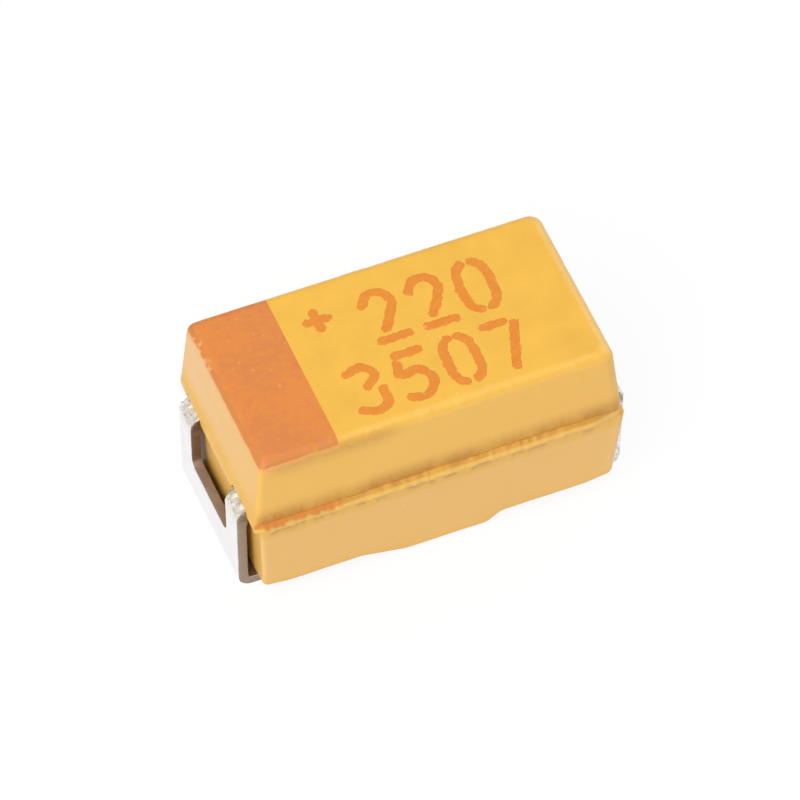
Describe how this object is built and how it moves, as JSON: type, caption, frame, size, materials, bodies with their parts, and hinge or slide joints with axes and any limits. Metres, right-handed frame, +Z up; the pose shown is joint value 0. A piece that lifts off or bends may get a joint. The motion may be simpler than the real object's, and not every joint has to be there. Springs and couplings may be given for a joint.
{
  "type": "tantalum capacitor",
  "caption": "Surface-mount moulded tantalum chip capacitor: drafted resin case with a parting lip and polarity band, on two formed strip terminals.",
  "frame": {"origin": "in the plane of the solder feet, centred under the chip's overall box", "axes": "+X along the chip, from the marked anode end to the cathode end; +Y across it; +Z up, from the feet to the top of the case"},
  "size_m": [0.0032, 0.0016, 0.0016],
  "materials": {
    "case_resin": "moulded epoxy, warm yellow, satin",
    "band_ink": "flat orange marking ink",
    "tinned_strip": "matt tin over nickel-iron strip, brown on the sheared edges",
    "tantalum_wire": "drawn tantalum, blue-grey",
    "sintered_tantalum": "porous sintered tantalum, dark grey",
    "washer_polymer": "white fluoropolymer",
    "manganese_dioxide": "black-brown fired oxide",
    "graphite": "dull black dipped graphite",
    "silver_paint": "dull silver paint",
    "silver_epoxy": "grey silver-loaded adhesive"
  },
  "bodies": {
    "root": {"moulded_case": "case_resin", "polarity_band": "band_ink", "anode_terminal": "tinned_strip", "cathode_terminal": "tinned_strip", "anode_wire": "tantalum_wire", "tantalum_pellet": "sintered_tantalum", "wire_washer": "washer_polymer", "manganese_dioxide_coat": "manganese_dioxide", "graphite_coat": "graphite", "silver_coat": "silver_paint", "silver_adhesive": "silver_epoxy"}
  },
  "joints": []
}
